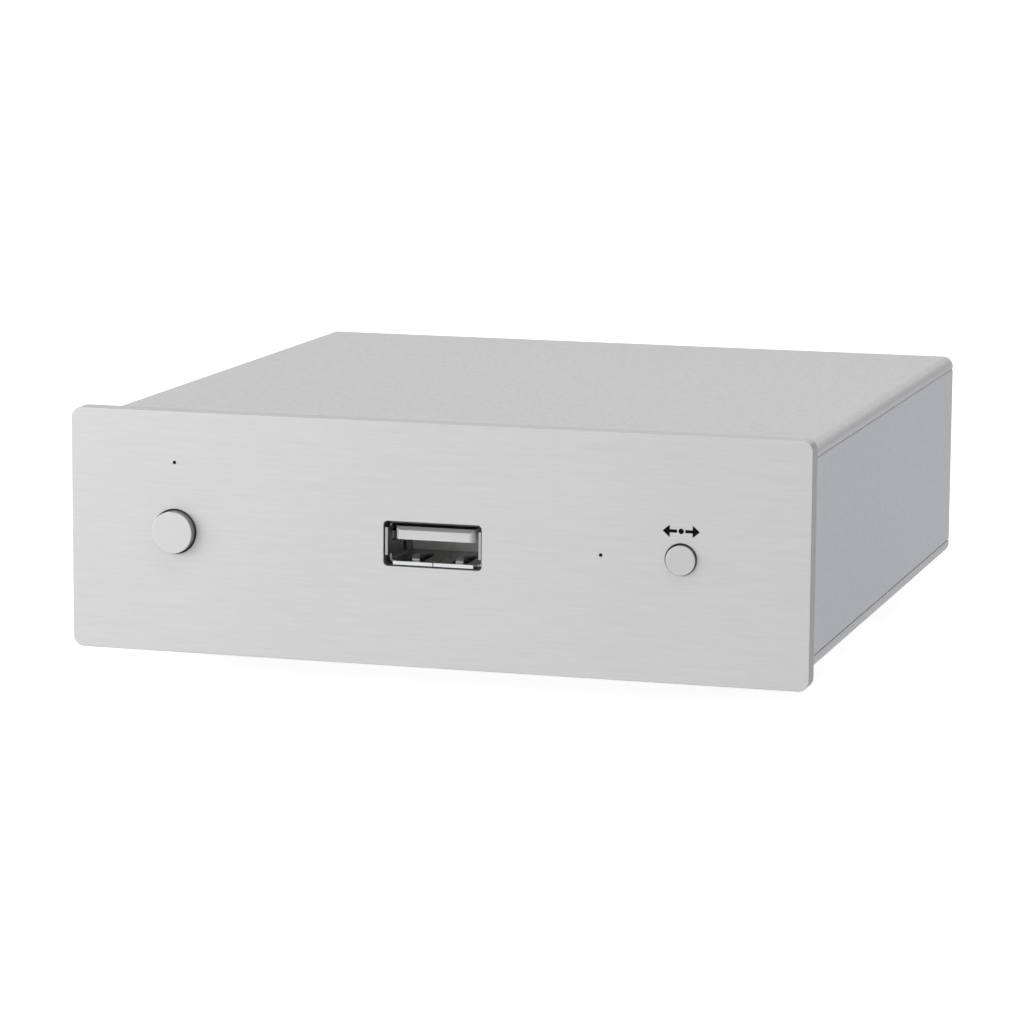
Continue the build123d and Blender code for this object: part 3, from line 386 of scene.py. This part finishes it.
def port_plastic(name, color, roughness):
    """Moulded plastic with painted shade: some on its bevels, more towards the back of the port, most on
    faces across Z.
    """
    made = Finish(name, color, roughness)
    skin = made.noise(skin_scale)
    at_bevel = made.facing(z_axis, start=0.3, end=0.6)
    at_top = made.facing(z_axis, start=0.8, end=0.95)
    shaded = made.mixed(at_bevel, made.shades(skin, spread=0.03), dimmed(color, painted_bevel_shade))
    shaded = made.mixed(at_top, shaded, dimmed(color, painted_top_shade))
    split = made.node("ShaderNodeSeparateXYZ")
    made.link(made.place, split.inputs[0])
    reach = made.node("ShaderNodeMath", operation="ABSOLUTE")
    made.link(split.outputs["Y"], reach.inputs[0])
    mouth = -panel_low.y
    depth = made.ranged(reach.outputs[0], 1, 0, mouth - dark_depth, mouth - bright_depth)
    made.colored(made.mixed(depth, shaded, [c * shade for c, shade in zip(color, painted_back_shades)]))
    made.roughened(skin, skin_spread)
    made.bumped((skin, 3 * micron))
    return made


bloom_color = (0.09, 0.09, 0.09)
bloom_share = 0.3


def soft_rubber(name, color, roughness):
    """Matte rubber with a pale bloom in its skin."""
    made = Finish(name, color, roughness)
    skin = made.noise((2600, 2600, 2600), detail=4.0, rough=0.7)
    bloom = made.noise((220, 220, 220), detail=3.0)
    blooming = made.ranged(bloom, 0, bloom_share)
    made.colored(made.mixed(blooming, made.shades(skin, spread=0.12), bloom_color))
    made.roughened(skin, skin_spread)
    made.bumped((skin, 10 * micron))
    return made


track_scale = (260, 260, 1)
weave_scale = (2200, 2200, 1)
track_gain = 1.7
track_lift = 0.01


def printed_laminate(name, color, roughness):
    """Circuit board: solder mask over copper tracks, with the glass weave faintly showing."""
    made = Finish(name, color, roughness, Coat_Weight=0.4, Coat_Roughness=0.25)
    tracks = made.node("ShaderNodeTexVoronoi", distance="MANHATTAN", feature="F1")
    tracks.inputs["Scale"].default_value = 1.0
    made.link(made.stretched(track_scale), tracks.inputs["Vector"])
    edges = made.ranged(tracks.outputs["Distance"], 0, 1, start=0.46, end=0.5)
    weave = made.node("ShaderNodeTexChecker")
    weave.inputs["Scale"].default_value = 1.0
    made.link(made.stretched(weave_scale), weave.inputs["Vector"])
    lighter = [c * track_gain + track_lift for c in color]
    made.colored(made.mixed(edges, made.shades(weave.outputs["Fac"], spread=0.06), lighter))
    made.bumped((edges, 30 * micron), (weave.outputs["Fac"], 4 * micron))
    return made


def cloudy_film(name, color, roughness):
    """Double-sided film, slightly cloudy."""
    made = Finish(name, color, roughness)
    cloud = made.noise((500, 500, 500), detail=3.0)
    made.colored(made.shades(cloud, spread=0.05))
    made.roughened(cloud, spread=0.08)
    made.bumped((cloud, 10 * micron))
    return made


def light_guide(name, color, roughness):
    """Clear plastic that carries a lamp's light to a pinhole."""
    made = Finish(name, color, roughness, Transmission_Weight=0.85, IOR=1.49, Specular_IOR_Level=0.2)
    flow = made.noise((600, 600, 600))
    made.colored(made.shades(flow, spread=0.04))
    made.roughened(flow, spread=0.03)
    made.bumped((flow, 4 * micron))
    return made


phosphor_color = (0.75, 0.72, 0.5)
phosphor_share = 0.5


def milky_resin(name, color, roughness):
    """Resin over a light-emitting diode that is switched off."""
    made = Finish(name, color, roughness, Subsurface_Weight=0.2, Subsurface_Scale=1 * mm)
    swirl = made.noise((1500, 1500, 1500))
    made.colored(made.mixed(made.ranged(swirl, 0, phosphor_share), color, phosphor_color))
    made.roughened(swirl, spread=0.05)
    made.bumped((swirl, 5 * micron))
    return made


def printed_ink(name, color, roughness):
    """Screen-printed ink, a little rough at its surface."""
    made = Finish(name, color, roughness, Specular_IOR_Level=0.05)
    grain = made.noise((9000, 9000, 9000))
    made.colored(made.shades(grain, spread=0.15))
    made.roughened(grain, spread=0.05)
    made.bumped((grain, 3 * micron))
    return made


port_middle = middle("front_usb_shell")
# The box round the front port's opening where the panel gets painted shade.
painted_port_slot = (7.1 * mm, 20 * mm, 3.3 * mm)
# Painted shade: the case's faces turned along X, darker and bluer than its top.
case_painted_side_color = (0.466, 0.471, 0.492)

# Each material slot's finish: its kind, base colour, roughness and what else the kind takes
recipes = {
    "panel_aluminium": (brushed_metal, (0.619, 0.619, 0.620), 0.52, 0.49, 0.85, port_middle, painted_port_slot),
    "case_aluminium": (satin_metal, (0.570, 0.569, 0.570), 0.5, case_painted_side_color),
    "sink_aluminium": (satin_metal, (0.04, 0.04, 0.042), 0.5),
    "can_aluminium": (plated_metal, (0.72, 0.73, 0.75), 0.28),
    "plain_steel": (plated_metal, (0.55, 0.56, 0.57), 0.38, along_z),
    "screw_steel": (plated_metal, (0.60, 0.61, 0.62), 0.3),
    "port_steel": (plated_metal, (0.62, 0.62, 0.61), 0.26),
    "contact_gold": (plated_metal, (0.90, 0.68, 0.30), 0.22),
    "connector_gold": (plated_metal, (0.88, 0.66, 0.30), 0.2),
    "foot_rubber": (soft_rubber, (0.022, 0.022, 0.022), 0.8),
    "pad_rubber": (soft_rubber, (0.35, 0.42, 0.50), 0.75),
    "adhesive_film": (cloudy_film, (0.80, 0.80, 0.77), 0.5),
    "black_plastic": (moulded_plastic, (0.018, 0.018, 0.019), 0.42),
    "white_plastic": (moulded_plastic, (0.80, 0.80, 0.79), 0.38),
    "red_plastic": (moulded_plastic, (0.55, 0.018, 0.015), 0.38),
    "tongue_plastic": (port_plastic, (0.925, 0.93, 0.93), 0.4),
    "chip_plastic": (moulded_plastic, (0.03, 0.03, 0.033), 0.5),
    "board_laminate": (printed_laminate, (0.008, 0.010, 0.010), 0.4),
    "lead_plastic": (moulded_plastic, (0.02, 0.02, 0.02), 0.35, 2 * micron),
    "clear_plastic": (light_guide, (0.25, 0.26, 0.27), 0.08),
    "lamp_plastic": (milky_resin, (0.85, 0.85, 0.78), 0.3),
}
finishes = {name: kind(name, *values) for name, (kind, *values) in recipes.items()}

power_color = (0.562, 0.562, 0.562)
source_color = (0.528, 0.528, 0.528)
port_color = (0.535, 0.545, 0.555)
power_middle = middle("power_button")
source_middle = middle("source_button")
# The side profiles' colour is painted shade: a darker, bluer copy of the case's aluminium.
painted_side_finish = satin_metal("side_aluminium_painted_shade", (0.450, 0.458, 0.486), 0.5)

# Pieces whose finish isn't their slot's
own_finishes = {
    # Each cap's last number is the share of light kept on its rim, as painted shade.
    "power_button": turned_metal("power_cap_aluminium", power_color, 0.42, power_middle, y_axis, 0.6),
    "source_button": turned_metal("source_cap_aluminium", source_color, 0.42, source_middle, y_axis, 0.7),
    # The bottom plate's colour is painted shade: a darker, bluer copy of the case's aluminium.
    "bottom_plate": satin_metal("bottom_aluminium_painted_shade", (0.455, 0.460, 0.480), 0.5),
    "side_profile_left": painted_side_finish,
    "side_profile_right": painted_side_finish,
    # The last number is the share of light kept deep inside each port, as painted shade.
    "front_usb_shell": port_metal("front_port_steel", "front_usb_shell", port_color, 0.3, 0.85),
    "rear_usb_shell": port_metal("rear_port_steel", "rear_usb_shell", port_color, 0.3, 0.85),
}

for subpart in frame["record"]["subparts"]:
    node = subpart["node"]
    finish = own_finishes.get(node) or finishes[subpart["material_slot"]]
    for place in nodes[node].material_slots:
        place.material = finish.material


# Printed marks and small visible pieces

ink = printed_ink("black_ink", (0.004, 0.004, 0.004), 0.65)
ink_height = 0.02 * mm


def new_piece(name, mesh, finish, body="case"):
    """A mesh as a piece of the object that rides on a body."""
    piece = bpy.data.objects.new(name, mesh)
    bpy.context.scene.collection.objects.link(piece)
    mesh.materials.append(finish.material)
    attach(piece, body)
    return piece


def raised(name, outlines, place, right, out, height):
    """A mesh of closed outlines, raised from a face with this place, right and outward direction."""
    up = Vector(out).cross(Vector(right))
    shape = bmesh.new()
    for outline in outlines:
        corners = [Vector(place) + Vector(right) * x + up * z for x, z in outline]
        low = [shape.verts.new(corner) for corner in corners]
        high = [shape.verts.new(corner + Vector(out) * height) for corner in corners]
        shape.faces.new(low)
        shape.faces.new(high)
        for first in range(len(outline)):
            second = (first + 1) % len(outline)
            shape.faces.new((low[first], low[second], high[second], high[first]))
    bmesh.ops.recalc_face_normals(shape, faces=shape.faces[:])
    mesh = bpy.data.meshes.new(name)
    shape.to_mesh(mesh)
    shape.free()
    return mesh


# Pictogram above the small button: two opposite arrows and a dot

source_hole = middle("source_switch_actuator")
mark_width = 5.0 * mm
mark_height = 1.64 * mm
mark_rise = 3.75 * mm
mark_stem = 0.42 * mm
head_length = 0.95 * mm
arrow_length = 1.95 * mm
dot_radius = 0.36 * mm
dot_sides = 32


def arrow(tip, toward):
    """An arrow's outline, from its tip; toward is 1 for right and -1 for left."""
    neck = tip - toward * head_length
    tail = tip - toward * arrow_length
    return [
        (tip, 0),
        (neck, mark_height / 2),
        (neck, mark_stem / 2),
        (tail, mark_stem / 2),
        (tail, -mark_stem / 2),
        (neck, -mark_stem / 2),
        (neck, -mark_height / 2),
    ]


dot = [
    (
        dot_radius * math.cos(2 * math.pi * side / dot_sides),
        dot_radius * math.sin(2 * math.pi * side / dot_sides),
    )
    for side in range(dot_sides)
]
source_mark = raised(
    "source_mark",
    [arrow(-mark_width / 2, -1), dot, arrow(mark_width / 2, 1)],
    (source_hole.x, panel_low.y, source_hole.z + mark_rise),
    (1, 0, 0),
    (0, -1, 0),
    ink_height,
)
new_piece("source_mark", source_mark, ink)


# Plain numbers under the rear sockets, counted from the left as seen from behind

number_height = 2.6 * mm
number_gap = 1.6 * mm
number_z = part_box("bottom_plate")[1].z + number_gap
digit_share = 0.7  # a digit's height, as a share of the font's size
numbered = (
    "power_inlet",
    "ethernet_shell",
    "rear_usb_shell",
    "phono_ring_right",
    "phono_ring_left",
    "antenna_nut",
)
facing_back = Matrix(((-1, 0, 0), (0, 0, 1), (0, 1, 0))).to_4x4()

for count, node in enumerate(numbered, start=1):
    writing = bpy.data.curves.new("number", "FONT")
    writing.body = str(count)
    writing.size = number_height / digit_share
    writing.align_x = "CENTER"
    writing.extrude = ink_height
    written = bpy.data.objects.new("number", writing)
    mesh = bpy.data.meshes.new_from_object(written)
    bpy.data.objects.remove(written)
    place = Vector((middle(node).x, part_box("rear_panel")[1].y, number_z))
    mesh.transform(Matrix.Translation(place) @ facing_back)
    new_piece(f"rear_number_{count}", mesh, ink)


# Thread of the antenna connector, from its nut to its chamfer

antenna_axis = middle("antenna_connector")
thread_pitch = 0.706 * mm
thread_root = 3.0 * mm
thread_crest = 3.2 * mm
thread_chamfer = 0.3 * mm
thread_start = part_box("antenna_nut")[1].y + thread_pitch
thread_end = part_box("antenna_connector")[1].y - thread_chamfer - thread_pitch
thread_sides = 40


def thread():
    """A ridge of triangular section that winds round the connector's axis."""
    steps = int((thread_end - thread_start) / thread_pitch * thread_sides)
    shape = bmesh.new()
    rows = []
    for step in range(steps + 1):
        turn = 2 * math.pi * step / thread_sides
        y = thread_start + thread_pitch * step / thread_sides
        section = (
            (thread_root, -thread_pitch / 2),
            (thread_crest, 0),
            (thread_root, thread_pitch / 2),
        )
        rows.append(
            [
                shape.verts.new(
                    (
                        antenna_axis.x + radius * math.cos(turn),
                        y + along,
                        antenna_axis.z + radius * math.sin(turn),
                    )
                )
                for radius, along in section
            ]
        )
    for before, after in zip(rows, rows[1:]):
        for first in range(3):
            second = (first + 1) % 3
            shape.faces.new((before[first], before[second], after[second], after[first]))
    shape.faces.new(rows[0])
    shape.faces.new(rows[-1])
    bmesh.ops.recalc_face_normals(shape, faces=shape.faces[:])
    mesh = bpy.data.meshes.new("antenna_thread")
    shape.to_mesh(mesh)
    shape.free()
    return mesh


new_piece("antenna_thread", thread(), finishes["connector_gold"])


# Stage: floor, world and lamps

floor_size = 14.0
floor_glow = 0.86
floor_color = 0.6
world_strength = 0.3


def seen_directly(tree):
    """One for rays that show the background: from the camera, off gloss or through glass."""
    rays = tree.nodes.new("ShaderNodeLightPath")
    best = rays.outputs["Is Camera Ray"]
    for name in ("Is Glossy Ray", "Is Transmission Ray"):
        most = tree.nodes.new("ShaderNodeMath")
        most.operation = "MAXIMUM"
        tree.links.new(best, most.inputs[0])
        tree.links.new(rays.outputs[name], most.inputs[1])
        best = most.outputs[0]
    return best


def make_floor():
    """A pale floor that shows white, keeps the object's soft shadow, and isn't there from below."""
    mesh = bpy.data.meshes.new("floor")
    shape = bmesh.new()
    bmesh.ops.create_grid(shape, x_segments=1, y_segments=1, size=floor_size / 2)
    shape.to_mesh(mesh)
    shape.free()
    floor = bpy.data.objects.new("floor", mesh)
    bpy.context.scene.collection.objects.link(floor)
    material = bpy.data.materials.new("floor_white")
    material.use_nodes = True
    tree = material.node_tree
    tree.nodes.clear()
    out = tree.nodes.new("ShaderNodeOutputMaterial")
    matte = tree.nodes.new("ShaderNodeBsdfDiffuse")
    matte.inputs["Color"].default_value = (floor_color, floor_color, floor_color, 1)
    glow = tree.nodes.new("ShaderNodeEmission")
    glow.inputs["Color"].default_value = (1, 1, 1, 1)
    strength = tree.nodes.new("ShaderNodeMath")
    strength.operation = "MULTIPLY"
    strength.inputs[1].default_value = floor_glow
    tree.links.new(seen_directly(tree), strength.inputs[0])
    tree.links.new(strength.outputs[0], glow.inputs["Strength"])
    both = tree.nodes.new("ShaderNodeAddShader")
    tree.links.new(matte.outputs[0], both.inputs[0])
    tree.links.new(glow.outputs[0], both.inputs[1])
    clear = tree.nodes.new("ShaderNodeBsdfTransparent")
    below = tree.nodes.new("ShaderNodeNewGeometry")
    sides = tree.nodes.new("ShaderNodeMixShader")
    tree.links.new(below.outputs["Backfacing"], sides.inputs["Fac"])
    tree.links.new(both.outputs[0], sides.inputs[1])
    tree.links.new(clear.outputs[0], sides.inputs[2])
    tree.links.new(sides.outputs[0], out.inputs["Surface"])
    mesh.materials.append(material)


def make_world(strength):
    """An even pale world, which shows white behind the object."""
    world = bpy.data.worlds.new("studio")
    bpy.context.scene.world = world
    world.use_nodes = True
    tree = world.node_tree
    background = tree.nodes["Background"]
    background.inputs["Color"].default_value = (1, 1, 1, 1)
    level = tree.nodes.new("ShaderNodeMapRange")
    level.inputs["To Min"].default_value = strength
    level.inputs["To Max"].default_value = 1.0
    tree.links.new(seen_directly(tree), level.inputs["Value"])
    tree.links.new(level.outputs["Result"], background.inputs["Strength"])


# Each lamp: azimuth, elevation in degrees, distance and side in metres, power in watts
lamps = {
    "key": (-50, 3, 0.55, 0.5, 2.45),
    "overhead": (40, 74, 0.9, 0.8, 3.3),
    "rear_left": (-125, 6, 0.8, 0.3, 1.3),
    "rear_right": (125, 6, 0.8, 0.3, 0.3),
}


def make_lamp(name, azimuth, elevation, distance, side, power):
    """A square soft box that faces the object's middle."""
    data = bpy.data.lights.new(name, "AREA")
    data.shape = "SQUARE"
    data.size = side
    data.energy = power
    lamp = bpy.data.objects.new(name, data)
    bpy.context.scene.collection.objects.link(lamp)
    turn, lift = math.radians(azimuth), math.radians(elevation)
    away = Vector(
        (math.sin(turn) * math.cos(lift), -math.cos(turn) * math.cos(lift), math.sin(lift))
    )
    lamp.location = Vector((0, 0, panel_middle)) + away * distance
    lamp.rotation_euler = (-away).to_track_quat("-Z", "Y").to_euler()
    lamp.visible_camera = False


make_floor()
make_world(world_strength)
for name, values in lamps.items():
    make_lamp(name, *values)


# Camera at the photograph's place, round the middle of the front panel's face

view_azimuth = math.radians(16.2644)
view_elevation = math.radians(9.2064)
view_roll = math.radians(0.3737)
view_distance = 0.55927
view_slide = (0.010603, 0.004594)
sensor_width = 36.0
lens = 147.6537

camera_data = bpy.data.cameras.new("camera")
camera_data.sensor_width = sensor_width
camera_data.lens = lens
camera_data.clip_start = 0.01
camera_data.clip_end = 60.0
camera = bpy.data.objects.new("camera", camera_data)
bpy.context.scene.collection.objects.link(camera)
bpy.context.scene.camera = camera

back = Vector(
    (
        math.sin(view_azimuth) * math.cos(view_elevation),
        -math.cos(view_azimuth) * math.cos(view_elevation),
        math.sin(view_elevation),
    )
)
level_right = Vector((0, 0, 1)).cross(back).normalized()
level_up = back.cross(level_right)
right = level_right * math.cos(view_roll) + level_up * math.sin(view_roll)
up = level_up * math.cos(view_roll) - level_right * math.sin(view_roll)
eye = Vector((0, panel_low.y, panel_middle))
eye += back * view_distance + right * view_slide[0] + up * view_slide[1]
turned = Matrix((right, up, back)).transposed().to_4x4()
camera.matrix_world = Matrix.Translation(eye) @ turned

bpy.context.scene.view_settings.view_transform = "Standard"
